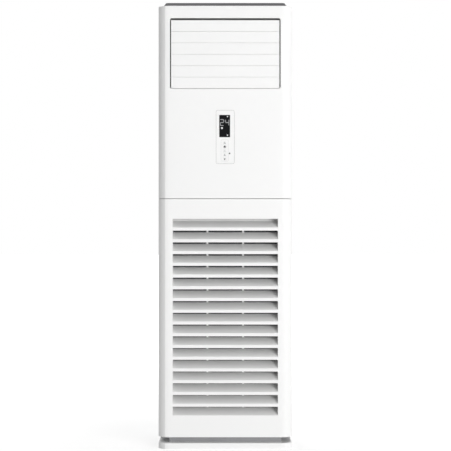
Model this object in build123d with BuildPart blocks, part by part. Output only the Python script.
from build123d import *

import os
from math import atan2, cos, degrees, radians, sin, sqrt

# Floor standing air conditioner, a tall cabinet with a return air grille in its lower half and
# an air outlet with six louvres at the top. Millimetres, +Z up, the front faces -Y, and the
# origin is on the floor at the middle of the foot.

# ---- Cabinet: stack of heights, from the floor up ----------------------------------------------
width = 560.0
depth = 370.0
plinth_height = 26.0
toe_gap = 24.0
lower_panel_height = 995.8
seam = 1.6
upper_panel_height = 804.6
cap_height = 12.6

# ---- Materials and clearances ------------------------------------------------------------------
wall = 2.5
sheet = 1.5
plate = 2.0
clearance = 0.5
running_gap = 0.06
screw_head = 2.0

# ---- Plan of the front panels: a facet on each corner, then a slight curve into the flat -------
facet_width = 28.6
facet_depth = 34.0
facet_drop = 1.8
facet_bulge = 3.4
blend_width = 45.0
crease_radius = 2.5
corner_radius = 10.0
panel_wrap = 62.0
panel_edge_radius = 1.5
grille_edge_radius = 3.5

# ---- Foot --------------------------------------------------------------------------------------
plinth_wall = 3.0
plinth_round = 5.0
riser_margin = 45.0
riser_setback = 34.0
frame_ledge = 22.0
frame_inset = 6.0
anchor_margin = 90.0
anchor_spacing_y = 220.0
anchor_radius = 5.5

# ---- Grille hinge ------------------------------------------------------------------------------
hinge_margin = 100.0
hinge_pin_radius = 3.0
hinge_hook_radius = 6.5
hinge_hook_width = 10.0
hinge_arm_half = 5.0
hinge_arm_width = 8.0
hinge_arm_reach = 30.0

# ---- Side, rear and top panels -----------------------------------------------------------------
flange = 26.0
front_flange = 15.0
cap_margin = 22.0
cap_slope = 9.5
cap_front_slope = 2.0
cap_setback = 6.0
cap_corner = 14.0
cap_wall = 2.5
pipe_hole_radius = 35.0
pipe_hole_margin = 100.0
service_height = 170.0
drain_hole_radius = 14.0
gland_radius = 12.0
gland_bore_radius = 6.5
gland_x = 60.0
gland_length = 22.0
bead_count = 5
bead_width = 16.0
bead_height = 2.5
bead_round = 1.2
bracket_width = 180.0
bracket_height = 40.0
bracket_hole_spacing = 120.0
bracket_hole_radius = 3.0
bracket_drop = 70.0
screw_rows = 6
screw_radius = 4.0
screw_shank_radius = 1.9
screw_length = 9.0

# ---- Return air grille -------------------------------------------------------------------------
slot_count = 17
slot_margin = 60.0
slot_opening = 36.1
bar_height = 12.95
slot_bottom = 141.1
blade_depth = 50.0
blade_rise = 28.6
blade_thickness = 2.2
bar_round = 1.0
rib_x = 75.0
rib_thickness = 4.0
rib_flange = 8.0
rib_setback = 48.0
rail_lip = 5.0
rail_lip_thickness = 2.0
rail_run_on = 20.0
filter_thickness = 7.0
filter_gap = 1.0
filter_border = 8.0
filter_bar = 3.0
filter_bars = 8
filter_net = 0.8

# ---- Outlet, louvres and vanes -----------------------------------------------------------------
outlet_margin = 49.0
outlet_height = 295.2
outlet_bottom = 1505.4
outlet_corner = 9.0
duct_wall = 3.0
duct_sill_depth = 110.0
duct_back = 150.0
duct_floor = 1450.0
duct_turn_radius = 150.0
louver_count = 6
louver_pitch = 47.6
louver_gap = 0.6
louver_margin = 1.6
louver_side_gap = 4.8
louver_thickness = 3.5
louver_round = 0.8
louver_recess = 1.8
louver_offset = 6.5
pivot_radius = 3.0
pivot_boss = 5.0
louver_arm = 14.0
louver_arm_angle = 45.0
arm_thickness = 3.0
arm_half_width = 3.5
crank_pin_radius = 2.0
crank_pin_length = 4.0
link_thickness = 2.5
link_half_width = 4.5
link_gap = 0.4
vane_count = 6
vane_depth = 56.0
vane_thickness = 2.0
vane_end_gap = 5.0
vane_setback = 74.0
vane_arm = 14.0
stepper_radius = 14.0
stepper_length = 19.0
stepper_offset = 11.0
stepper_ear = 17.5
stepper_ear_radius = 3.5
stepper_socket = 8.0

# ---- Control panel -----------------------------------------------------------------------------
bezel_width = 76.0
bezel_height = 222.0
bezel_bottom = 1193.0
bezel_corner = 7.0
bezel_gap = 1.0
bezel_round = 1.2
bezel_flange = 6.0
bezel_plate = 2.0
bezel_recess = 0.4
control_x = -2.5
window_width = 45.5
window_height = 93.0
window_top_margin = 19.0
window_corner = 1.5
window_thickness = 2.0
window_ledge = 3.0
key_count = 5
key_pitch = 16.8
key_radius = 6.8
key_hole_gap = 0.35
key_top_below_window = 24.3
key_flange = 1.2
key_round = 0.6
key_travel = 0.8
key_stem_radius = 2.0
board_width = 66.0
board_thickness = 1.6
board_standoff = 9.0
board_post_radius = 2.5
switch_size = 5.0
switch_height = 2.5

# ---- Fan section -------------------------------------------------------------------------------
fan_x = -31.0
fan_z = 540.0
impeller_radius = 175.0
impeller_inner_radius = 146.0
impeller_width = 150.0
impeller_blades = 36
impeller_blade_thickness = 1.5
impeller_blade_lean = 16.0
impeller_disc = 2.5
hub_radius = 22.0
hub_length = 60.0
shaft_radius = 7.0
nut_width = 22.0
nut_height = 10.0
bell_radius = 140.0
bell_lip_radius = 20.0
bell_lip_length = 8.0
bell_overlap = 3.0
scroll_start = 190.0
scroll_growth = 21.0
tongue_x = 95.0
scroll_clearance = 14.0
motor_radius = 72.0
motor_length = 92.0
motor_boss_radius = 30.0
motor_boss_length = 6.0
motor_ribs = 24
motor_rib = 4.0
bracket_ring_radius = 112.0
motor_hole_radius = 90.0
deck_height = 1030.0

# ---- Cooling coil and its pipes ----------------------------------------------------------------
coil_margin = 45.0
coil_length = 408.0
coil_thickness = 44.0
coil_tilt = 30.0
coil_y = 30.0
coil_rows = 3
coil_tubes = 12
coil_tube_radius = 4.0
coil_end_margin = 8.0
coil_end_plate = 1.2
fin_pitch = 10.0
fin_gap = 6.0
fin_groove = 3.0
header_radius = 8.0
stub_entry = 1.0
header_margin = 16.0
suction_radius = 8.0
liquid_radius = 4.8
suction_y = 110.0
liquid_y = 80.0
pipe_bend = 25.0
header_bend = 14.0
union_bore_radius = 3.5
gas_union_radius = 11.1
liquid_union_radius = 8.0
union_length = 30.0
union_spacing = 30.0
union_setback = 2.5
union_nut_radius = 13.0
union_nut_length = 14.0
pan_depth = 84.0
pan_height = 20.0
pan_front = -112.0
drain_margin = 41.0
drain_radius = 10.0
drain_bore_radius = 8.0
drain_bend = 60.0
spout_length = 14.0

# ---- Electrical parts --------------------------------------------------------------------------
box_margin = 90.0
box_height = 250.0
box_depth = 44.0
box_bottom_margin = 31.5
circuit_width = 230.0
circuit_height = 170.0
circuit_standoff = 8.0
terminal_count = 5
terminal_pitch = 14.0
terminal_height = 22.0
terminal_depth = 18.0
transformer_size = 44.0
capacitor_radius = 11.0
relay_count = 5
relay_pitch = 30.0

# ---- Places worked out from the sizes above ----------------------------------------------------
half_width = width / 2
riser_width = width - 2 * riser_margin
anchor_spacing_x = width - 2 * anchor_margin
hinge_x = half_width - hinge_margin
cap_half_width = half_width - cap_margin
pipe_hole_x = half_width - pipe_hole_margin
slot_width = width - 2 * slot_margin
outlet_width = width - 2 * outlet_margin
coil_width = width - 2 * coil_margin
header_x = half_width - header_margin
drain_x = drain_margin - half_width
box_width = width - 2 * box_margin
front = -depth / 2
rear = depth / 2
body_rear = rear - screw_head
body_bottom = plinth_height + toe_gap
lower_top = body_bottom + lower_panel_height
upper_bottom = lower_top + seam
panel_top = upper_bottom + upper_panel_height
side_front = front + panel_wrap + seam
bulkhead_y = side_front + sheet
inner_half_width = half_width - sheet - clearance
rear_sheet_back = body_rear - sheet
rear_sheet_front = rear_sheet_back - sheet
slot_pitch = slot_opening + bar_height
slot_top = slot_bottom + (slot_count - 1) * slot_pitch + slot_opening
filter_front = front + blade_depth + filter_gap
rail_back = filter_front + filter_thickness + filter_gap + rail_lip_thickness
filter_floor = slot_bottom - rail_run_on
hinge_y = front + wall + hinge_hook_radius - clearance
hinge_z = body_bottom + wall + hinge_hook_radius - clearance
outlet_top = outlet_bottom + outlet_height
outlet_half_width = outlet_width / 2
duct_front = front + wall
duct_sill_back = duct_front + duct_sill_depth
louver_height = louver_pitch - louver_gap
louver_y = front + louver_recess + louver_thickness / 2 + louver_offset
louver_first_z = outlet_bottom + louver_margin + louver_height / 2
vane_y = front + vane_setback
vane_pitch = outlet_width / vane_count
window_top = bezel_bottom + bezel_height - window_top_margin
window_bottom = window_top - window_height
key_first_z = window_bottom - key_top_below_window
pad_front = front + bezel_recess
bezel_back = front + wall + bezel_plate
board_y = bezel_back + board_standoff
impeller_front = bulkhead_y + bell_lip_radius + bell_lip_length - bell_overlap
impeller_back = impeller_front + impeller_width
volute_back = impeller_back + scroll_clearance
motor_front = volute_back + plate + plate
deck_top = deck_height + sheet
pan_floor = deck_top + plate
coil_plate_length = coil_length + 2 * coil_end_margin
coil_plate_thickness = coil_thickness + 2 * coil_end_plate
coil_lean = radians(coil_tilt)
coil_rise = coil_plate_length / 2 * cos(coil_lean) + coil_plate_thickness / 2 * sin(coil_lean)
coil_z = pan_floor + coil_rise
coil_pitch = coil_length / coil_tubes
coil_row_pitch = coil_thickness / coil_rows
bulkhead_top = outlet_bottom - duct_wall
union_y = body_rear - sheet - union_setback - union_length
gas_union_z = service_height + union_spacing / 2
liquid_union_z = service_height - union_spacing / 2


# ---- Helpers -----------------------------------------------------------------------------------
def facing_front(y, x=0.0, z=0.0):
    """Plane at depth y that looks towards the front; its extrusions come forward, to -Y."""
    return Plane(origin=(x, y, z), x_dir=(1, 0, 0), z_dir=(0, -1, 0))


def coil_plane(along=0.0):
    """Plane of the coil's middle, along it by a distance; its normal points up and forward."""
    origin = (0, coil_y + along * sin(coil_lean), coil_z + along * cos(coil_lean))
    return Plane(origin=origin, x_dir=(1, 0, 0), z_dir=(0, -cos(coil_lean), sin(coil_lean)))


def cabinet_plan(z, back, inset=0.0):
    """Outline of the cabinet seen from above, from its front face to the line y = back."""
    with BuildSketch(Plane.XY.offset(z)) as outline:
        with BuildLine():
            flat = Line((0, front), (half_width - blend_width, front))
            facet_start = (half_width - facet_width, front + facet_drop)
            blend = TangentArc(flat @ 1, facet_start, tangent=flat % 1)
            facet = SagittaArc(blend @ 1, (half_width, front + facet_depth), -facet_bulge)
            Polyline(facet @ 1, (half_width, back), (0, back))
            mirror(about=Plane.YZ)
        make_face()
        for drop, radius in ((facet_drop, crease_radius), (facet_depth, corner_radius)):
            creases = [v for v in outline.vertices() if abs(v.Y - front - drop) < clearance]
            fillet(creases, radius=radius)
        if inset:
            offset(amount=-inset, kind=Kind.INTERSECTION)
    return outline.sketch


def front_tray(bottom, height, edge_radius):
    """Moulded front panel: a face with wrapped sides, a floor and a roof, open at the back."""
    back = front + panel_wrap
    with BuildPart() as tray:
        extrude(cabinet_plan(bottom, back), amount=height)
        top_edges = tray.faces().sort_by(Axis.Z)[-1].edges()
        fillet(top_edges.filter_by(lambda e: e.center().Y < back - 1), radius=edge_radius)
        extrude(cabinet_plan(bottom + wall, back + 2 * wall, wall), amount=height - 2 * wall,
                mode=Mode.SUBTRACT)
    return tray.part


def pipe(points, radii, outer, bore=0.0):
    """Round pipe along straight runs joined by arcs."""
    with BuildPart() as tube:
        with BuildLine() as route:
            FilletPolyline(*points, radius=radii)
        with BuildSketch(Plane(origin=route.line @ 0, z_dir=route.line % 0)):
            Circle(outer)
            if bore:
                Circle(bore, mode=Mode.SUBTRACT)
        sweep()
    return tube.part


def link_bar(pins):
    """Flat bar with a round hole at each crank pin, in its own plane."""
    hole = crank_pin_radius + running_gap
    with BuildSketch() as bar:
        with BuildLine():
            Line(pins[0], pins[-1])
            offset(amount=link_half_width, side=Side.BOTH)
        make_face()
        with Locations(*pins):
            Circle(hole, mode=Mode.SUBTRACT)
    return bar.sketch


def finish(piece, name):
    """Names a piece and writes it."""
    piece.part.label = name
    export_step(piece.part, f"parts/{name}.step")


os.makedirs("parts", exist_ok=True)

# ==== Foot ======================================================================================
# Steel base plate on the floor, with four holes for floor anchors.
with BuildPart() as base_plate:
    extrude(cabinet_plan(0, rear, plinth_wall + clearance), amount=plate)
    with Locations((0, 0, plate)):
        with GridLocations(anchor_spacing_x, anchor_spacing_y, 2, 2):
            Hole(anchor_radius)
finish(base_plate, "base_plate")

# White plinth round the base plate, open in the middle for the riser.
riser_depth = depth - 2 * riser_setback
with BuildPart() as plinth_trim:
    extrude(cabinet_plan(0, rear), amount=plinth_height)
    fillet(plinth_trim.faces().sort_by(Axis.Z)[-1].edges(), radius=plinth_round)
    extrude(cabinet_plan(0, rear, plinth_wall), amount=plinth_height - plinth_wall, mode=Mode.SUBTRACT)
    with BuildSketch():
        Rectangle(riser_width + 2 * clearance, riser_depth + 2 * clearance)
    extrude(amount=plinth_height, mode=Mode.SUBTRACT)
finish(plinth_trim, "plinth_trim")

# Recessed riser with a ledge that carries the cabinet, and the arms and pins that the grille
# hooks onto.
with BuildPart() as cabinet_frame:
    with BuildSketch(Plane.XY.offset(plate)):
        Rectangle(riser_width, riser_depth)
        Rectangle(riser_width - 2 * plate, riser_depth - 2 * plate, mode=Mode.SUBTRACT)
    extrude(amount=body_bottom - plate)
    with BuildSketch(Plane.XY.offset(body_bottom - plate)):
        with Locations((0, (front + hinge_arm_reach + rear - frame_inset) / 2)):
            Rectangle(width - 2 * frame_inset, rear - frame_inset - front - hinge_arm_reach)
        Rectangle(riser_width - 2 * frame_ledge, riser_depth - 2 * frame_ledge, mode=Mode.SUBTRACT)
    extrude(amount=plate)
    for x in (-hinge_x, hinge_x):
        with BuildSketch(Plane.YZ.offset(x)):
            with BuildLine():
                Polyline(
                    (hinge_y, hinge_z + hinge_arm_half),
                    (hinge_y, hinge_z - hinge_arm_half),
                    (front + hinge_arm_reach, body_bottom - plate),
                    (front + hinge_arm_reach + flange, body_bottom - plate),
                    (front + hinge_arm_reach + flange, body_bottom),
                    close=True,
                )
            make_face()
            with Locations((hinge_y, hinge_z)):
                Circle(hinge_arm_half)
        extrude(amount=hinge_arm_width / 2, both=True)
        with BuildSketch(Plane.YZ.offset(x)):
            with Locations((hinge_y, hinge_z)):
                Circle(hinge_pin_radius)
        extrude(amount=hinge_arm_width / 2 + clearance + hinge_hook_width, both=True)
finish(cabinet_frame, "cabinet_frame")

# ==== Sides, rear and top =======================================================================
side_length = body_rear - side_front
side_height = panel_top - body_bottom
rear_height = side_height - 2 * sheet - 2 * clearance
rear_bottom = body_bottom + sheet + clearance
screw_x = half_width - flange / 2
screw_pitch = rear_height / screw_rows


def screw_places(y, radius):
    """Circles down both side flanges where screws hold the rear panel, at depth y."""
    with BuildSketch(facing_front(y, 0, rear_bottom + rear_height / 2)) as places:
        with GridLocations(2 * screw_x, screw_pitch, 2, screw_rows):
            Circle(radius)
    return places.sketch


with BuildPart() as right_side_panel:
    with BuildSketch(Plane.XY.offset(body_bottom)):
        with Locations((half_width, side_front)):
            Rectangle(flange, side_length, align=(Align.MAX, Align.MIN))
    extrude(amount=side_height)
    fillet(right_side_panel.edges().filter_by(Axis.Z).group_by(Axis.X)[-1].sort_by(Axis.Y)[-1],
           radius=crease_radius)
    with BuildSketch(Plane.XY.offset(body_bottom + sheet)):
        with Locations((half_width - sheet, side_front + sheet)):
            Rectangle(flange, side_length - 2 * sheet, align=(Align.MAX, Align.MIN))
    extrude(amount=side_height - 2 * sheet, mode=Mode.SUBTRACT)
    with BuildSketch(Plane.XY.offset(body_bottom)):
        with Locations((half_width - front_flange, side_front)):
            Rectangle(flange, sheet, align=(Align.MAX, Align.MIN))
    extrude(amount=side_height, mode=Mode.SUBTRACT)
    extrude(screw_places(body_rear, screw_shank_radius + running_gap), amount=screw_length,
            mode=Mode.SUBTRACT)
finish(right_side_panel, "right_side_panel")

with BuildPart() as left_side_panel:
    mirror(right_side_panel.part, about=Plane.YZ)
finish(left_side_panel, "left_side_panel")

# Rear panel behind the side flanges, with pressed beads and the service holes.
bracket_z = panel_top - bracket_drop
bead_length = width - 2 * flange - 4 * bead_width
bead_pitch = rear_height / (bead_count + 2)
with BuildPart() as rear_panel:
    with BuildSketch(facing_front(rear_sheet_back, 0, rear_bottom)):
        Rectangle(2 * inner_half_width, rear_height, align=(Align.CENTER, Align.MIN))
    extrude(amount=sheet)
    with BuildSketch(facing_front(rear_sheet_back + bead_height, 0, rear_bottom + rear_height / 2)):
        with GridLocations(bead_length, bead_pitch, 1, bead_count):
            SlotOverall(bead_length, bead_width)
    extrude(amount=bead_height)
    fillet(rear_panel.faces().filter_by(Axis.Y).group_by(Axis.Y)[-1].edges(), radius=bead_round)
    with BuildSketch(facing_front(rear_sheet_back, 0, service_height)):
        with Locations((pipe_hole_x, 0)):
            Circle(pipe_hole_radius)
        with Locations((drain_x, 0)):
            Circle(drain_hole_radius)
        with Locations((gland_x, 0)):
            Circle(gland_radius - plate + running_gap)
        for x in (-bracket_hole_spacing / 2, bracket_hole_spacing / 2):
            with Locations((x, bracket_z - service_height)):
                Circle(3 * bracket_hole_radius)
    extrude(amount=sheet, mode=Mode.SUBTRACT)
    extrude(screw_places(body_rear, screw_shank_radius + running_gap), amount=screw_length,
            mode=Mode.SUBTRACT)
finish(rear_panel, "rear_panel")

with BuildPart() as anti_tip_bracket:
    with BuildSketch(facing_front(body_rear, 0, bracket_z)):
        RectangleRounded(bracket_width, bracket_height, 2 * crease_radius)
        with GridLocations(bracket_hole_spacing, bracket_height, 2, 1):
            Circle(bracket_hole_radius, mode=Mode.SUBTRACT)
    extrude(amount=sheet)
finish(anti_tip_bracket, "anti_tip_bracket")

with BuildPart() as cable_gland:
    with BuildSketch(facing_front(body_rear, gland_x, service_height)):
        Circle(gland_radius)
    extrude(amount=sheet)
    with BuildSketch(facing_front(body_rear, gland_x, service_height)):
        Circle(gland_radius - plate)
    extrude(amount=gland_length)
    with BuildSketch(facing_front(body_rear, gland_x, service_height)):
        Circle(gland_bore_radius)
    extrude(amount=gland_length, mode=Mode.SUBTRACT)
finish(cable_gland, "cable_gland")

# Screws that hold the side flanges to the rear panel.
with BuildPart() as panel_screws:
    extrude(screw_places(rear, screw_radius), amount=screw_head)
    extrude(screw_places(body_rear, screw_shank_radius), amount=screw_length)
finish(panel_screws, "panel_screws")

# Dark cap, narrower at its top than at its foot.
cap_front = front + cap_setback
with BuildPart() as top_cap:
    with BuildSketch(Plane.XY.offset(panel_top)):
        with Locations((0, (cap_front + rear) / 2)):
            RectangleRounded(2 * cap_half_width, rear - cap_front, cap_corner)
    with BuildSketch(Plane.XY.offset(panel_top + cap_height)):
        with Locations((0, (cap_front + cap_front_slope + rear) / 2)):
            RectangleRounded(2 * (cap_half_width - cap_slope), rear - cap_front - cap_front_slope,
                             cap_corner)
    loft()
    with BuildSketch(Plane.XY.offset(panel_top)):
        with Locations((0, (cap_front + rear) / 2)):
            RectangleRounded(2 * (cap_half_width - cap_slope - cap_wall),
                             rear - cap_front - 2 * (cap_slope + cap_wall), cap_corner - cap_wall)
    extrude(amount=cap_height - cap_wall, mode=Mode.SUBTRACT)
finish(top_cap, "top_cap")

# ==== Upper front panel and the control panel in it =============================================
outlet_z = outlet_bottom + outlet_height / 2
bezel_z = bezel_bottom + bezel_height / 2
with BuildPart() as upper_front_panel:
    add(front_tray(upper_bottom, upper_panel_height, panel_edge_radius))
    with BuildSketch(facing_front(front + wall)):
        with Locations((0, outlet_z)):
            RectangleRounded(outlet_width, outlet_height, outlet_corner)
        with Locations((0, bezel_z)):
            RectangleRounded(bezel_width + 2 * bezel_gap, bezel_height + 2 * bezel_gap,
                             bezel_corner + bezel_gap)
    extrude(amount=wall, mode=Mode.SUBTRACT)
    front_face = upper_front_panel.faces().filter_by(Axis.Y).sort_by(Axis.Y)[0]
    fillet(front_face.inner_wires().sort_by(Axis.Z)[0].edges(), radius=bezel_round)
finish(upper_front_panel, "upper_front_panel")

key_z = [key_first_z - i * key_pitch for i in range(key_count)]
board_height = bezel_height - 2 * bezel_corner
post_places = [
    (x, bezel_z + z)
    for x in (-board_width / 2 + board_post_radius, board_width / 2 - board_post_radius)
    for z in (-board_height / 2 + board_post_radius, board_height / 2 - board_post_radius)
]
with BuildPart() as control_bezel:
    with BuildSketch(facing_front(bezel_back)):
        with Locations((0, bezel_z)):
            RectangleRounded(bezel_width + 2 * bezel_flange, bezel_height + 2 * bezel_flange,
                             bezel_corner + bezel_flange)
    extrude(amount=bezel_plate)
    with BuildSketch(facing_front(front + wall)):
        with Locations((0, bezel_z)):
            RectangleRounded(bezel_width, bezel_height, bezel_corner)
    extrude(amount=wall - bezel_recess)
    fillet(control_bezel.faces().sort_by(Axis.Y)[0].edges(), radius=bezel_round)
    with BuildSketch(facing_front(board_y)):
        with Locations(*post_places):
            Circle(board_post_radius)
    extrude(amount=board_standoff)
    with BuildSketch(facing_front(bezel_back)):
        with Locations((control_x, (window_top + window_bottom) / 2)):
            Rectangle(window_width - 2 * window_ledge, window_height - 2 * window_ledge)
        with Locations(*[(control_x, z) for z in key_z]):
            Circle(key_radius + key_hole_gap)
    extrude(amount=bezel_plate + wall, mode=Mode.SUBTRACT)
    with BuildSketch(facing_front(pad_front + window_thickness)):
        with Locations((control_x, (window_top + window_bottom) / 2)):
            RectangleRounded(window_width, window_height, window_corner)
    extrude(amount=window_thickness, mode=Mode.SUBTRACT)
finish(control_bezel, "control_bezel")

with BuildPart() as display_window:
    with BuildSketch(facing_front(pad_front + window_thickness)):
        with Locations((control_x, (window_top + window_bottom) / 2)):
            RectangleRounded(window_width - 2 * running_gap, window_height - 2 * running_gap,
                             window_corner)
    extrude(amount=window_thickness)
finish(display_window, "display_window")

# Display board on the bezel's posts, with the digit block and one switch for each key.
with BuildPart() as display_board:
    with BuildSketch(facing_front(board_y + board_thickness)):
        with Locations((0, bezel_z)):
            RectangleRounded(board_width, board_height, board_post_radius)
    extrude(amount=board_thickness)
    with BuildSketch(facing_front(board_y)):
        with Locations((control_x, (window_top + window_bottom) / 2)):
            Rectangle(window_width - 4 * window_ledge, window_height - 4 * window_ledge)
    extrude(amount=board_standoff - clearance)
    with BuildSketch(facing_front(board_y)):
        with Locations(*[(control_x, z) for z in key_z]):
            Rectangle(switch_size, switch_size)
    extrude(amount=switch_height)
finish(display_board, "display_board")

key_names = ["power", "mode", "fan", "up", "down"]
key_stem_back = board_y - switch_height - key_travel - running_gap
for name, z in zip(key_names, key_z):
    with BuildPart() as key:
        with BuildSketch(facing_front(bezel_back, control_x, z)):
            Circle(key_radius)
        extrude(amount=bezel_plate + wall - bezel_recess)
        fillet(key.faces().sort_by(Axis.Y)[0].edges(), radius=key_round)
        with BuildSketch(facing_front(bezel_back + key_flange, control_x, z)):
            Circle(key_radius + key_flange)
        extrude(amount=key_flange)
        with BuildSketch(facing_front(key_stem_back, control_x, z)):
            Circle(key_stem_radius)
        extrude(amount=key_stem_back - bezel_back)
    finish(key, f"{name}_key")

# ==== Lower front panel: the return air grille ==================================================
rib_places = [-rib_x, rib_x]
cheek_x = slot_width / 2 + plate / 2
rail_places = [-cheek_x, -rib_x, rib_x, cheek_x]
slot_middle = (slot_bottom + slot_top) / 2
rail_depth = rail_back - front
blade_drop = blade_thickness / cos(atan2(blade_rise, blade_depth))
with BuildPart() as intake_grille:
    add(front_tray(body_bottom, lower_panel_height, grille_edge_radius))
    with BuildSketch(facing_front(front + wall)):
        with Locations((0, slot_middle)):
            Rectangle(slot_width, slot_top - slot_bottom)
    extrude(amount=wall, mode=Mode.SUBTRACT)
    # Inclined blades, each rising inwards from the top of the bar below its slot.
    with BuildSketch(Plane.YZ.offset(-slot_width / 2 - plate)) as blades:
        for i in range(slot_count):
            low = slot_bottom + i * slot_pitch
            with BuildLine():
                Polyline(
                    (front, low - bar_height),
                    (front, low),
                    (front + blade_depth, low + blade_rise),
                    (front + blade_depth, low + blade_rise - blade_drop),
                    (front + wall, low + wall * blade_rise / blade_depth - blade_drop),
                    (front + wall, low - bar_height),
                    close=True,
                )
            make_face()
        outer = blades.vertices().filter_by(lambda v: v.Y < front + wall / 2)
        fillet(outer.filter_by(lambda v: v.Z > slot_bottom + wall), radius=bar_round)
    extrude(amount=slot_width + 2 * plate)
    # Ribs and cheeks tie the blades together, and their lips hold the filters.
    for x in rail_places:
        with BuildSketch(Plane.YZ.offset(x)):
            with Locations((front + wall / 2, slot_bottom - rail_run_on - wall)):
                Rectangle(rail_depth - wall / 2, slot_top - slot_bottom + 2 * (rail_run_on + wall),
                          align=(Align.MIN, Align.MIN))
            if x in rib_places:
                with Locations((front, slot_bottom)):
                    Rectangle(rib_setback, slot_top - slot_bottom, align=(Align.MIN, Align.MIN),
                              mode=Mode.SUBTRACT)
        thickness = rib_thickness if x in rib_places else plate
        extrude(amount=thickness / 2, both=True)
        lip = rail_lip + thickness / 2
        with BuildSketch(facing_front(rail_back, x, slot_middle)):
            Rectangle(2 * lip, slot_top - slot_bottom + 2 * rail_run_on)
        extrude(amount=rail_lip_thickness)
    for x in rib_places:
        with BuildSketch(facing_front(front + blade_depth, x, slot_middle)):
            Rectangle(rib_flange, slot_top - slot_bottom)
        extrude(amount=plate)
    # Strip that closes the gap behind the top slot.
    with BuildSketch(facing_front(front + blade_depth, 0, slot_top)):
        Rectangle(slot_width, 2 * rail_run_on)
    extrude(amount=plate)
    # Floor under the filters.
    with BuildSketch(Plane.XY.offset(filter_floor - wall)):
        with Locations((0, front + wall / 2)):
            Rectangle(slot_width, rail_depth - wall / 2, align=(Align.CENTER, Align.MIN))
    extrude(amount=wall)
    # Hooks round the hinge pins, with a notch in the floor for each arm.
    for x in (-hinge_x, hinge_x):
        for side in (-1, 1):
            start = x + side * (hinge_arm_width / 2 + clearance)
            with BuildSketch(Plane.YZ.offset(start)):
                with Locations((hinge_y, hinge_z)):
                    Circle(hinge_hook_radius)
            extrude(amount=side * hinge_hook_width)
        with BuildSketch(Plane.YZ.offset(x)):
            with Locations((hinge_y, hinge_z)):
                Circle(hinge_pin_radius + running_gap)
        extrude(amount=hinge_arm_width / 2 + clearance + hinge_hook_width, both=True, mode=Mode.SUBTRACT)
        with BuildSketch(Plane.XY.offset(body_bottom)):
            with Locations((x, front + wall)):
                Rectangle(hinge_arm_width + 2 * clearance, panel_wrap, align=(Align.CENTER, Align.MIN))
        extrude(amount=wall, mode=Mode.SUBTRACT)
finish(intake_grille, "intake_grille")

# Filters between the rails: a frame with cross bars over a fine net.
filter_places = {
    "left": (-slot_width / 2, -rib_x - rib_thickness / 2),
    "centre": (-rib_x + rib_thickness / 2, rib_x - rib_thickness / 2),
    "right": (rib_x + rib_thickness / 2, slot_width / 2),
}
filter_height = slot_top + rail_run_on / 2 - filter_floor
for name, (left, right) in filter_places.items():
    frame_width = right - left - 2 * clearance
    middle = (left + right) / 2
    frame_plane = facing_front(filter_front + filter_thickness, middle, filter_floor + filter_height / 2)
    with BuildPart() as air_filter:
        with BuildSketch(frame_plane):
            Rectangle(frame_width, filter_height)
        extrude(amount=filter_thickness)
        with BuildSketch(frame_plane):
            Rectangle(frame_width - 2 * filter_border, filter_height - 2 * filter_border)
        extrude(amount=filter_thickness, mode=Mode.SUBTRACT)
        with BuildSketch(frame_plane):
            Rectangle(frame_width - filter_border, filter_height - filter_border)
        extrude(amount=filter_net)
        with BuildSketch(frame_plane):
            with GridLocations(frame_width, filter_height / (filter_bars + 1), 1, filter_bars):
                Rectangle(frame_width - filter_border, filter_bar)
        extrude(amount=filter_thickness - filter_gap)
    finish(air_filter, f"{name}_air_filter")

# ==== Air outlet ================================================================================
def duct_profile(out, sill_back):
    """Side view of the duct, out by a distance from its air space."""
    with BuildSketch(Plane.YZ.offset(-outlet_half_width - out)) as profile:
        with BuildLine():
            front_edge = duct_front if out else duct_front - 1
            floor = duct_floor if out else duct_floor - 1
            turn = duct_turn_radius
            up = Polyline(
                (front_edge, outlet_bottom - out),
                (sill_back - out, outlet_bottom - out),
                (sill_back - out, floor),
                (duct_back + out, floor),
                (duct_back + out, outlet_top - turn),
            )
            arc = JernArc(up @ 1, (0, 1), turn + out, 90)
            Polyline(arc @ 1, (front_edge, outlet_top + out), up @ 0)
        make_face()
    return profile.sketch


louver_z = [louver_first_z + i * louver_pitch for i in range(louver_count)]
louver_z.reverse()
vane_x = [(i + 0.5) * vane_pitch - outlet_half_width for i in range(vane_count)]
with BuildPart() as outlet_duct:
    extrude(duct_profile(duct_wall, duct_sill_back), amount=outlet_width + 2 * duct_wall)
    extrude(duct_profile(0, duct_sill_back), amount=outlet_width, mode=Mode.SUBTRACT)
    with BuildSketch(Plane.YZ.offset(-outlet_half_width - duct_wall)):
        with Locations(*[(louver_y, z) for z in louver_z]):
            Circle(pivot_radius + running_gap)
    extrude(amount=outlet_width + 2 * duct_wall, mode=Mode.SUBTRACT)
    with BuildSketch(Plane.XY.offset(outlet_bottom - duct_wall)):
        with Locations(*[(x, vane_y) for x in vane_x]):
            Circle(pivot_radius + running_gap)
    extrude(amount=outlet_height + 2 * duct_wall, mode=Mode.SUBTRACT)
finish(outlet_duct, "outlet_duct")

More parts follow.
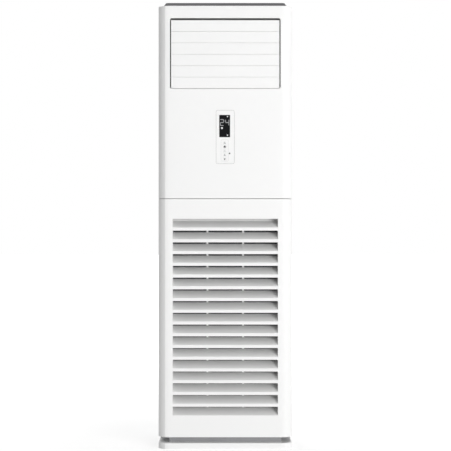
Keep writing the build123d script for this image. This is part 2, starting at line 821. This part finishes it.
# Louvres: a blade in front of its pivots, an ear at each end, and a crank outside the left wall.
crank_y = louver_arm * cos(radians(louver_arm_angle))
crank_z = louver_arm * sin(radians(louver_arm_angle))
blade_half = outlet_half_width - louver_side_gap
crank_x = -outlet_half_width - duct_wall - clearance
for number, z in enumerate(louver_z, start=1):
    blade_y = louver_y - louver_offset
    with BuildPart() as louver:
        with BuildSketch(Plane.YZ.offset(-blade_half)) as section:
            with Locations((blade_y, z)):
                Rectangle(louver_thickness, louver_height)
            fillet(section.vertices(), radius=louver_round)
        extrude(amount=2 * blade_half)
        for end in (-1, 1):
            with BuildSketch(Plane.YZ.offset(end * blade_half)):
                with BuildLine():
                    Polyline((blade_y, z - 2 * pivot_boss), (blade_y, z + 2 * pivot_boss),
                             (louver_y, z + pivot_boss), (louver_y, z - pivot_boss), close=True)
                make_face()
                with Locations((louver_y, z)):
                    Circle(pivot_boss)
            extrude(amount=-end * arm_thickness)
        with BuildSketch(Plane.YZ.offset(crank_x - arm_thickness)):
            with Locations((louver_y, z)):
                Circle(pivot_radius)
        reach = blade_half - crank_x + duct_wall + (stepper_socket if number == 1 else 0)
        extrude(amount=arm_thickness + reach)
        with BuildSketch(Plane.YZ.offset(crank_x - arm_thickness)):
            with BuildLine():
                Line((louver_y, z), (louver_y + crank_y, z + crank_z))
                offset(amount=arm_half_width, side=Side.BOTH)
            make_face()
        extrude(amount=arm_thickness)
        with BuildSketch(Plane.YZ.offset(crank_x - arm_thickness - crank_pin_length)):
            with Locations((louver_y + crank_y, z + crank_z)):
                Circle(crank_pin_radius)
        extrude(amount=crank_pin_length)
    finish(louver, f"louver_{number}")

link_x = crank_x - arm_thickness - link_gap
with BuildPart() as louver_link:
    with BuildSketch(Plane.YZ.offset(link_x)) as bar:
        add(link_bar([(louver_y + crank_y, z + crank_z) for z in louver_z]))
    extrude(amount=-link_thickness)
finish(louver_link, "louver_link")

# Vertical vanes behind the louvres, with cranks under the sill.
vane_height = outlet_height - 2 * vane_end_gap
crank_top = outlet_bottom - duct_wall - clearance
for number, x in enumerate(vane_x, start=1):
    with BuildPart() as vane:
        with BuildSketch(Plane.XY.offset(outlet_bottom + vane_end_gap)):
            with Locations((x, vane_y)):
                SlotOverall(vane_depth, vane_thickness, rotation=90)
                Circle(pivot_boss)
        extrude(amount=vane_height)
        with BuildSketch(Plane.XY.offset(crank_top - arm_thickness)):
            with Locations((x, vane_y)):
                Circle(pivot_radius)
        above = stepper_socket if number == 1 else 0
        extrude(amount=outlet_top + duct_wall + above - crank_top + arm_thickness)
        with BuildSketch(Plane.XY.offset(crank_top - arm_thickness)):
            with BuildLine():
                Line((x, vane_y), (x, vane_y + vane_arm))
                offset(amount=arm_half_width, side=Side.BOTH)
            make_face()
        extrude(amount=arm_thickness)
        with BuildSketch(Plane.XY.offset(crank_top - arm_thickness - crank_pin_length)):
            with Locations((x, vane_y + vane_arm)):
                Circle(crank_pin_radius)
        extrude(amount=crank_pin_length)
    finish(vane, f"vane_{number}")

with BuildPart() as vane_link:
    with BuildSketch(Plane.XY.offset(crank_top - arm_thickness - link_gap)) as bar:
        add(link_bar([(x, vane_y + vane_arm) for x in vane_x]))
    extrude(amount=-link_thickness)
finish(vane_link, "vane_link")


def stepper(plane):
    """Stepper motor standing on a wall, its socket at the plane's origin and off its body's centre."""
    with BuildPart() as motor:
        with BuildSketch(plane):
            with Locations((0, -stepper_offset)):
                Circle(stepper_radius)
        extrude(amount=stepper_length)
        with BuildSketch(plane):
            with Locations((0, -stepper_offset)):
                SlotCenterToCenter(2 * stepper_ear, 2 * stepper_ear_radius)
                with GridLocations(2 * stepper_ear, 1, 2, 1):
                    Circle(screw_shank_radius, mode=Mode.SUBTRACT)
        extrude(amount=plate)
        with BuildSketch(plane):
            Circle(pivot_radius + running_gap)
        extrude(amount=stepper_socket + clearance, mode=Mode.SUBTRACT)
    return motor.part


with BuildPart() as louver_motor:
    louver_motor_plane = Plane(origin=(outlet_half_width + duct_wall, louver_y, louver_z[0]),
                               x_dir=(0, 0, 1), z_dir=(1, 0, 0))
    add(stepper(louver_motor_plane))
finish(louver_motor, "louver_motor")

with BuildPart() as vane_motor:
    add(stepper(Plane(origin=(vane_x[0], vane_y, outlet_top + duct_wall), z_dir=(0, 0, 1))))
finish(vane_motor, "vane_motor")

# ==== Fan section ===============================================================================
# Bulkhead with the bell mouth that leads air into the impeller.
bulkhead_bottom = body_bottom + sheet + clearance
with BuildPart() as bell_mouth:
    with BuildSketch(facing_front(bulkhead_y + sheet, 0, bulkhead_bottom)):
        Rectangle(2 * inner_half_width, deck_height - bulkhead_bottom, align=(Align.CENTER, Align.MIN))
    extrude(amount=sheet)
    with BuildSketch(facing_front(bulkhead_y + sheet, fan_x, fan_z)):
        Circle(bell_radius + bell_lip_radius)
    extrude(amount=sheet, mode=Mode.SUBTRACT)
    with BuildSketch(Plane.XY.offset(fan_z)):
        with BuildLine():
            mouth = fan_x + bell_radius
            turn_y = bulkhead_y + bell_lip_radius
            lip_y = turn_y + bell_lip_length
            air_side = JernArc((mouth + bell_lip_radius, bulkhead_y), (-1, 0), bell_lip_radius, -90)
            Polyline(air_side @ 1, (mouth, lip_y), (mouth + sheet, lip_y), (mouth + sheet, turn_y))
            JernArc((mouth + sheet, turn_y), (0, -1), bell_lip_radius - sheet, 90)
            Line((mouth + bell_lip_radius, bulkhead_y + sheet), air_side @ 0)
        make_face()
    revolve(axis=Axis((fan_x, 0, fan_z), (0, 1, 0)))
finish(bell_mouth, "bell_mouth")


def scroll_plan(y, out, top):
    """Spiral outline of the casing, out by a distance from its air space, up to a height."""
    first = scroll_start + out
    second = first + scroll_growth
    third = second + scroll_growth
    tongue = tongue_x + out
    tongue_z = sqrt(first**2 - tongue**2)
    with BuildSketch(facing_front(y, fan_x, fan_z)) as outline:
        with BuildLine():
            left = CenterArc((0, 0), first, degrees(atan2(tongue_z, -tongue)),
                             180 - degrees(atan2(tongue_z, -tongue)))
            lower_left = CenterArc((scroll_growth, 0), second, 180, 90)
            lower_right = CenterArc((scroll_growth, scroll_growth), third, 270, 90)
            Polyline(lower_right @ 1, (scroll_growth + third, top - fan_z), (-tongue, top - fan_z),
                     left @ 0)
        make_face()
    return outline.sketch


# Spiral casing: a wall round the impeller, a back with the motor's hole, open at the top.
volute_front = bulkhead_y + sheet
with BuildPart() as volute_casing:
    extrude(scroll_plan(volute_back + plate, sheet, deck_height),
            amount=volute_back + plate - volute_front)
    extrude(scroll_plan(volute_back, 0, deck_height + 1), amount=volute_back - volute_front + 1,
            mode=Mode.SUBTRACT)
    with BuildSketch(facing_front(volute_back + plate, fan_x, fan_z)):
        Circle(motor_hole_radius)
    extrude(amount=plate, mode=Mode.SUBTRACT)
finish(volute_casing, "volute_casing")

with BuildSketch() as fan_blade:
    with BuildLine():
        reach = impeller_radius - impeller_inner_radius
        face = ThreePointArc(
            (impeller_inner_radius, 0),
            (impeller_inner_radius + reach / 2, -impeller_blade_lean / 5),
            (impeller_radius - plate, -impeller_blade_lean),
        )
        offset(face, amount=impeller_blade_thickness, side=Side.LEFT, kind=Kind.INTERSECTION)
    make_face()

with BuildPart() as impeller:
    with BuildSketch(facing_front(impeller_back, fan_x, fan_z)):
        Circle(impeller_radius)
    extrude(amount=impeller_disc)
    with BuildSketch(facing_front(impeller_back, fan_x, fan_z)):
        with PolarLocations(0, impeller_blades):
            add(fan_blade.sketch)
    extrude(amount=impeller_width)
    with BuildSketch(facing_front(impeller_front + impeller_disc, fan_x, fan_z)):
        Circle(impeller_radius)
        Circle(impeller_inner_radius, mode=Mode.SUBTRACT)
    extrude(amount=impeller_disc)
    with BuildSketch(facing_front(impeller_back, fan_x, fan_z)):
        Circle(hub_radius)
    extrude(amount=hub_length)
    with BuildSketch(facing_front(impeller_back, fan_x, fan_z)):
        Circle(shaft_radius + running_gap)
    extrude(amount=hub_length, mode=Mode.SUBTRACT)
finish(impeller, "impeller")

nut_back = impeller_back - hub_length
shaft_front = nut_back - nut_height - plate
motor_back = motor_front + motor_length
with BuildPart() as motor_shaft:
    with BuildSketch(facing_front(motor_back, fan_x, fan_z)):
        Circle(shaft_radius)
    extrude(amount=motor_back - shaft_front)
    chamfer(motor_shaft.faces().sort_by(Axis.Y)[0].edges(), length=1)
finish(motor_shaft, "motor_shaft")

with BuildPart() as impeller_nut:
    with BuildSketch(facing_front(nut_back, fan_x, fan_z)):
        RegularPolygon(nut_width / 2, 6, major_radius=False)
        Circle(shaft_radius + running_gap, mode=Mode.SUBTRACT)
    extrude(amount=nut_height)
finish(impeller_nut, "impeller_nut")

with BuildPart() as fan_motor:
    with BuildSketch(facing_front(motor_back, fan_x, fan_z)):
        Circle(motor_radius - motor_rib)
        with PolarLocations(motor_radius - motor_rib, motor_ribs):
            Rectangle(2 * motor_rib, motor_rib)
    extrude(amount=motor_length)
    with BuildSketch(facing_front(motor_front, fan_x, fan_z)):
        Circle(motor_boss_radius)
    extrude(amount=motor_boss_length)
    with BuildSketch(facing_front(motor_back, fan_x, fan_z)):
        Circle(shaft_radius + running_gap)
    extrude(amount=motor_length + motor_boss_length, mode=Mode.SUBTRACT)
finish(fan_motor, "fan_motor")

# Ring plate that carries the motor on the back of the casing.
with BuildPart() as motor_bracket:
    with BuildSketch(facing_front(motor_front, fan_x, fan_z)):
        Circle(bracket_ring_radius)
        Circle(motor_boss_radius + clearance, mode=Mode.SUBTRACT)
        with PolarLocations((motor_radius + motor_boss_radius) / 2, 6):
            Circle(shaft_radius, mode=Mode.SUBTRACT)
    extrude(amount=plate)
finish(motor_bracket, "motor_bracket")

# Deck between the fan and the coil, open over the casing and notched for pipes and hose.
deck_back = rear_sheet_front - clearance
scroll_left = fan_x - tongue_x
scroll_right = fan_x + 3 * scroll_growth + scroll_start
notch_x = header_x - suction_radius - 2 * clearance
with BuildPart() as fan_deck:
    with BuildSketch(Plane.XY.offset(deck_height)):
        with Locations((0, bulkhead_y)):
            Rectangle(2 * inner_half_width, deck_back - bulkhead_y, align=(Align.CENTER, Align.MIN))
        with Locations((scroll_left, volute_front)):
            Rectangle(scroll_right - scroll_left, volute_back - volute_front,
                      align=(Align.MIN, Align.MIN), mode=Mode.SUBTRACT)
        with Locations((inner_half_width, (suction_y + liquid_y) / 2)):
            Rectangle(inner_half_width - notch_x + 4 * clearance,
                      suction_y - liquid_y + 4 * suction_radius,
                      align=(Align.MAX, Align.CENTER), mode=Mode.SUBTRACT)
        with Locations((drain_x, pan_front + pan_depth / 2)):
            Circle(drain_radius + clearance, mode=Mode.SUBTRACT)
    extrude(amount=sheet)
finish(fan_deck, "fan_deck")

# ==== Cooling coil ==============================================================================
coil_places = [
    ((row - (coil_rows - 1) / 2) * coil_row_pitch, (tube - (coil_tubes - 1) / 2) * coil_pitch)
    for row in range(coil_rows)
    for tube in range(coil_tubes)
]


def coil_section(x):
    """Plane across the coil at x: its first axis runs through the rows, its second along the coil."""
    return Plane(origin=(x, coil_y, coil_z), x_dir=(0, cos(coil_lean), -sin(coil_lean)), z_dir=(1, 0, 0))


with BuildPart() as evaporator_fins:
    with BuildSketch(coil_section(-coil_width / 2)):
        Rectangle(coil_thickness, coil_length)
    extrude(amount=coil_width)
    fin_count = int(coil_width / fin_pitch) - 1
    for face in (-1, 1):
        with BuildSketch(coil_plane().offset(face * coil_thickness / 2)):
            with GridLocations(fin_pitch, coil_length, fin_count, 1):
                Rectangle(fin_gap, coil_length)
        extrude(amount=-face * fin_groove, mode=Mode.SUBTRACT)
    with BuildSketch(coil_section(-coil_width / 2)):
        with Locations(*coil_places):
            Circle(coil_tube_radius + running_gap)
    extrude(amount=coil_width, mode=Mode.SUBTRACT)
finish(evaporator_fins, "evaporator_fins")

with BuildPart() as evaporator_plates:
    for x in (-coil_width / 2 - coil_end_plate, coil_width / 2):
        with BuildSketch(coil_section(x)):
            Rectangle(coil_plate_thickness, coil_plate_length)
            with Locations(*coil_places):
                Circle(coil_tube_radius + running_gap, mode=Mode.SUBTRACT)
        extrude(amount=coil_end_plate)
finish(evaporator_plates, "evaporator_plates")

# Tubes of the coil, each row one run with return bends at both ends.
tube_end = coil_width / 2 + coil_end_plate
first_tube = -(coil_tubes - 1) / 2 * coil_pitch
with BuildPart() as evaporator_tubes:
    for row in range(coil_rows):
        through = (row - (coil_rows - 1) / 2) * coil_row_pitch
        row_plane = Plane(
            origin=coil_section(0).from_local_coords((through, 0, 0)),
            x_dir=(1, 0, 0),
            z_dir=(0, -cos(coil_lean), sin(coil_lean)),
        )
        with BuildLine(row_plane) as run:
            Line((header_x - liquid_radius + stub_entry, first_tube), (-tube_end, first_tube))
            for tube in range(coil_tubes - 1):
                side = -1 if tube % 2 == 0 else 1
                along = first_tube + tube * coil_pitch
                JernArc((side * tube_end, along), (side, 0), coil_pitch / 2, side * 180)
                last = tube == coil_tubes - 2
                end = header_x - header_radius + stub_entry if last else -side * tube_end
                Line((side * tube_end, along + coil_pitch), (end, along + coil_pitch))
        with BuildSketch(Plane(origin=run.line @ 0, z_dir=run.line % 0)):
            Circle(coil_tube_radius)
        sweep(path=run.line)
finish(evaporator_tubes, "evaporator_tubes")

# Suction header at the coil's upper end, and the gas pipe down and out to the rear.
row_reach = (coil_rows - 1) / 2 * coil_row_pitch
header_plane = coil_section(header_x)
suction_top = header_plane.from_local_coords((row_reach + header_radius, -first_tube, 0))
suction_pipe_points = [
    header_plane.from_local_coords((-row_reach - header_radius, -first_tube, 0)),
    suction_top,
    (header_x, suction_y, suction_top.Z - 3 * pipe_bend),
    (header_x, suction_y, gas_union_z),
    (pipe_hole_x, suction_y, gas_union_z),
    (pipe_hole_x, union_y, gas_union_z),
]
with BuildPart() as suction_pipe:
    add(pipe(suction_pipe_points, [header_bend, pipe_bend, pipe_bend, pipe_bend], suction_radius))
finish(suction_pipe, "suction_pipe")

# Liquid pipe along the coil's lower end, out to the rear over the pan and down.
liquid_turn = header_plane.from_local_coords((row_reach + liquid_radius, first_tube, 0))
liquid_pipe_points = [
    header_plane.from_local_coords((-row_reach - liquid_radius, first_tube, 0)),
    liquid_turn,
    (header_x, liquid_y, liquid_turn.Z),
    (header_x, liquid_y, liquid_union_z),
    (pipe_hole_x, liquid_y, liquid_union_z),
    (pipe_hole_x, union_y, liquid_union_z),
]
with BuildPart() as liquid_pipe:
    add(pipe(liquid_pipe_points, [header_bend, pipe_bend, pipe_bend, pipe_bend], liquid_radius))
finish(liquid_pipe, "liquid_pipe")

# Brass flare unions: a hexagon round the pipe's end and a male thread behind it.
for name, z, pipe_radius, thread_radius in (
    ("gas_union", gas_union_z, suction_radius, gas_union_radius),
    ("liquid_union", liquid_union_z, liquid_radius, liquid_union_radius),
):
    with BuildPart() as union:
        with BuildSketch(facing_front(union_y, pipe_hole_x, z)):
            RegularPolygon(union_nut_radius, 6)
            Circle(pipe_radius + running_gap, mode=Mode.SUBTRACT)
        extrude(amount=union_nut_length)
        with BuildSketch(facing_front(union_y, pipe_hole_x, z)):
            Circle(thread_radius)
            Circle(union_bore_radius, mode=Mode.SUBTRACT)
        extrude(amount=-union_length)
    finish(union, name)

# Drain pan across the full width under the coil, and the hose from its spout to the rear.
pan_width = 2 * inner_half_width - 2 * clearance
pan_y = pan_front + pan_depth / 2
with BuildPart() as drain_pan:
    with BuildSketch(Plane.XY.offset(deck_top)):
        with Locations((0, pan_y)):
            Rectangle(pan_width, pan_depth)
    extrude(amount=pan_height)
    with BuildSketch(Plane.XY.offset(pan_floor)):
        with Locations((0, pan_y)):
            Rectangle(pan_width - 2 * plate, pan_depth - 2 * plate)
    extrude(amount=pan_height, mode=Mode.SUBTRACT)
    with BuildSketch(Plane.XY.offset(deck_top)):
        with Locations((drain_x, pan_y)):
            Circle(drain_bore_radius - running_gap)
    extrude(amount=-spout_length)
    with BuildSketch(Plane.XY.offset(pan_floor)):
        with Locations((drain_x, pan_y)):
            Circle(drain_bore_radius - plate)
    extrude(amount=-spout_length - plate, mode=Mode.SUBTRACT)
finish(drain_pan, "drain_pan")

drain_hose_points = [
    (drain_x, pan_y, deck_height - clearance),
    (drain_x, pan_y, service_height),
    (drain_x, body_rear, service_height),
]
with BuildPart() as drain_hose:
    add(pipe(drain_hose_points, [drain_bend], drain_radius, drain_bore_radius))
finish(drain_hose, "drain_hose")

# ==== Electrical parts ==========================================================================
# Box in front of the bulkhead that closes the coil section, open to the front.
box_bottom = upper_bottom + wall + box_bottom_margin
box_z = box_bottom + box_height / 2
with BuildPart() as electrical_box:
    with BuildSketch(facing_front(bulkhead_y + sheet, 0, deck_top)):
        Rectangle(2 * inner_half_width, bulkhead_top - deck_top, align=(Align.CENTER, Align.MIN))
    extrude(amount=sheet)
    with BuildSketch(facing_front(bulkhead_y, 0, box_z)):
        Rectangle(box_width, box_height)
        Rectangle(box_width - 2 * sheet, box_height - 2 * sheet, mode=Mode.SUBTRACT)
    extrude(amount=box_depth)
finish(electrical_box, "electrical_box")

# Control board on posts, with its transformer, capacitors and relays.
circuit_x = -box_width / 2 + circuit_width / 2 + circuit_standoff
with BuildPart() as control_board:
    with BuildSketch(facing_front(bulkhead_y, circuit_x, box_z)):
        with GridLocations(circuit_width - 2 * circuit_standoff,
                           circuit_height - 2 * circuit_standoff, 2, 2):
            Circle(board_post_radius)
    extrude(amount=circuit_standoff)
    with BuildSketch(facing_front(bulkhead_y - circuit_standoff, circuit_x, box_z)):
        Rectangle(circuit_width, circuit_height)
    extrude(amount=board_thickness)
    with BuildSketch(facing_front(bulkhead_y - circuit_standoff - board_thickness, circuit_x, box_z)):
        with Locations((-circuit_width / 4, circuit_height / 4)):
            Rectangle(transformer_size, transformer_size)
        with Locations((circuit_width / 8, circuit_height / 4)):
            Circle(capacitor_radius)
        with Locations((circuit_width / 8 + 3 * capacitor_radius, circuit_height / 4)):
            Circle(capacitor_radius)
    extrude(amount=transformer_size / 2)
    with BuildSketch(facing_front(bulkhead_y - circuit_standoff - board_thickness, circuit_x, box_z)):
        with Locations((0, -circuit_height / 4)):
            with GridLocations(relay_pitch, 1, relay_count, 1):
                Rectangle(relay_pitch / 2, relay_pitch)
    extrude(amount=relay_pitch / 2)
finish(control_board, "control_board")

# Terminal block for the mains and the outdoor unit's wires.
terminal_width = terminal_count * terminal_pitch
terminal_x = box_width / 2 - terminal_width / 2 - circuit_standoff
with BuildPart() as terminal_block:
    with BuildSketch(facing_front(bulkhead_y, terminal_x, box_z)):
        Rectangle(terminal_width, terminal_height)
    extrude(amount=terminal_depth)
    with BuildSketch(facing_front(bulkhead_y - terminal_depth, terminal_x, box_z)):
        with GridLocations(terminal_pitch, terminal_height / 2, terminal_count, 2):
            Circle(terminal_pitch / 4)
    extrude(amount=-terminal_depth / 2, mode=Mode.SUBTRACT)
finish(terminal_block, "terminal_block")
